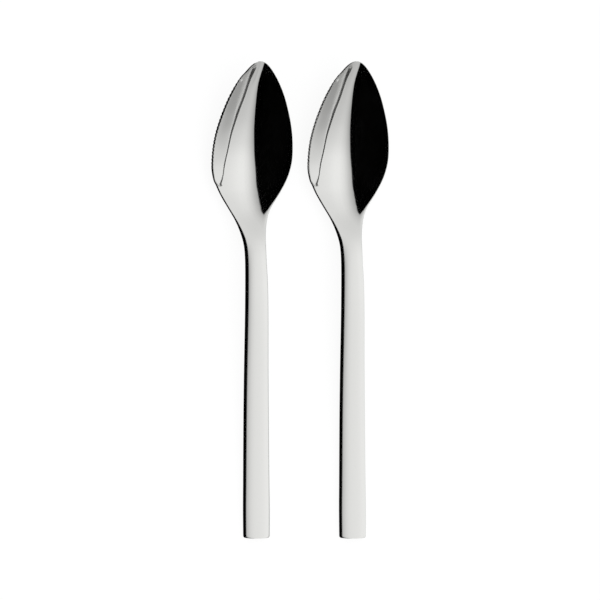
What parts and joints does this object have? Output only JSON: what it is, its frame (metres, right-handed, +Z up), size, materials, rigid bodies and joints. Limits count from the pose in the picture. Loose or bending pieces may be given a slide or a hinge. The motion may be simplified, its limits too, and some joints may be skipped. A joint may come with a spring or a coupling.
{
  "type": "grapefruit spoon",
  "caption": "Pair of pointed polished steel spoons with one toothed rim each, for cutting and lifting out citrus segments.",
  "frame": {"origin": "on the table under the middle of the pair's bounding box", "axes": "+Z up, +Y along the spoons from the handle's end to the tip, +X to the right of someone who holds them"},
  "size_m": [0.0722, 0.1696, 0.014],
  "materials": {
    "polished_steel": "polished"
  },
  "bodies": {
    "left_spoon": {"left_spoon": "polished_steel"},
    "right_spoon": {"right_spoon": "polished_steel"}
  },
  "joints": [
    {"name": "right_spoon_lift", "type": "slide", "parent": "left_spoon", "child": "right_spoon", "axis": [0, 0, 1], "range_m": [0, 0.1]}
  ]
}
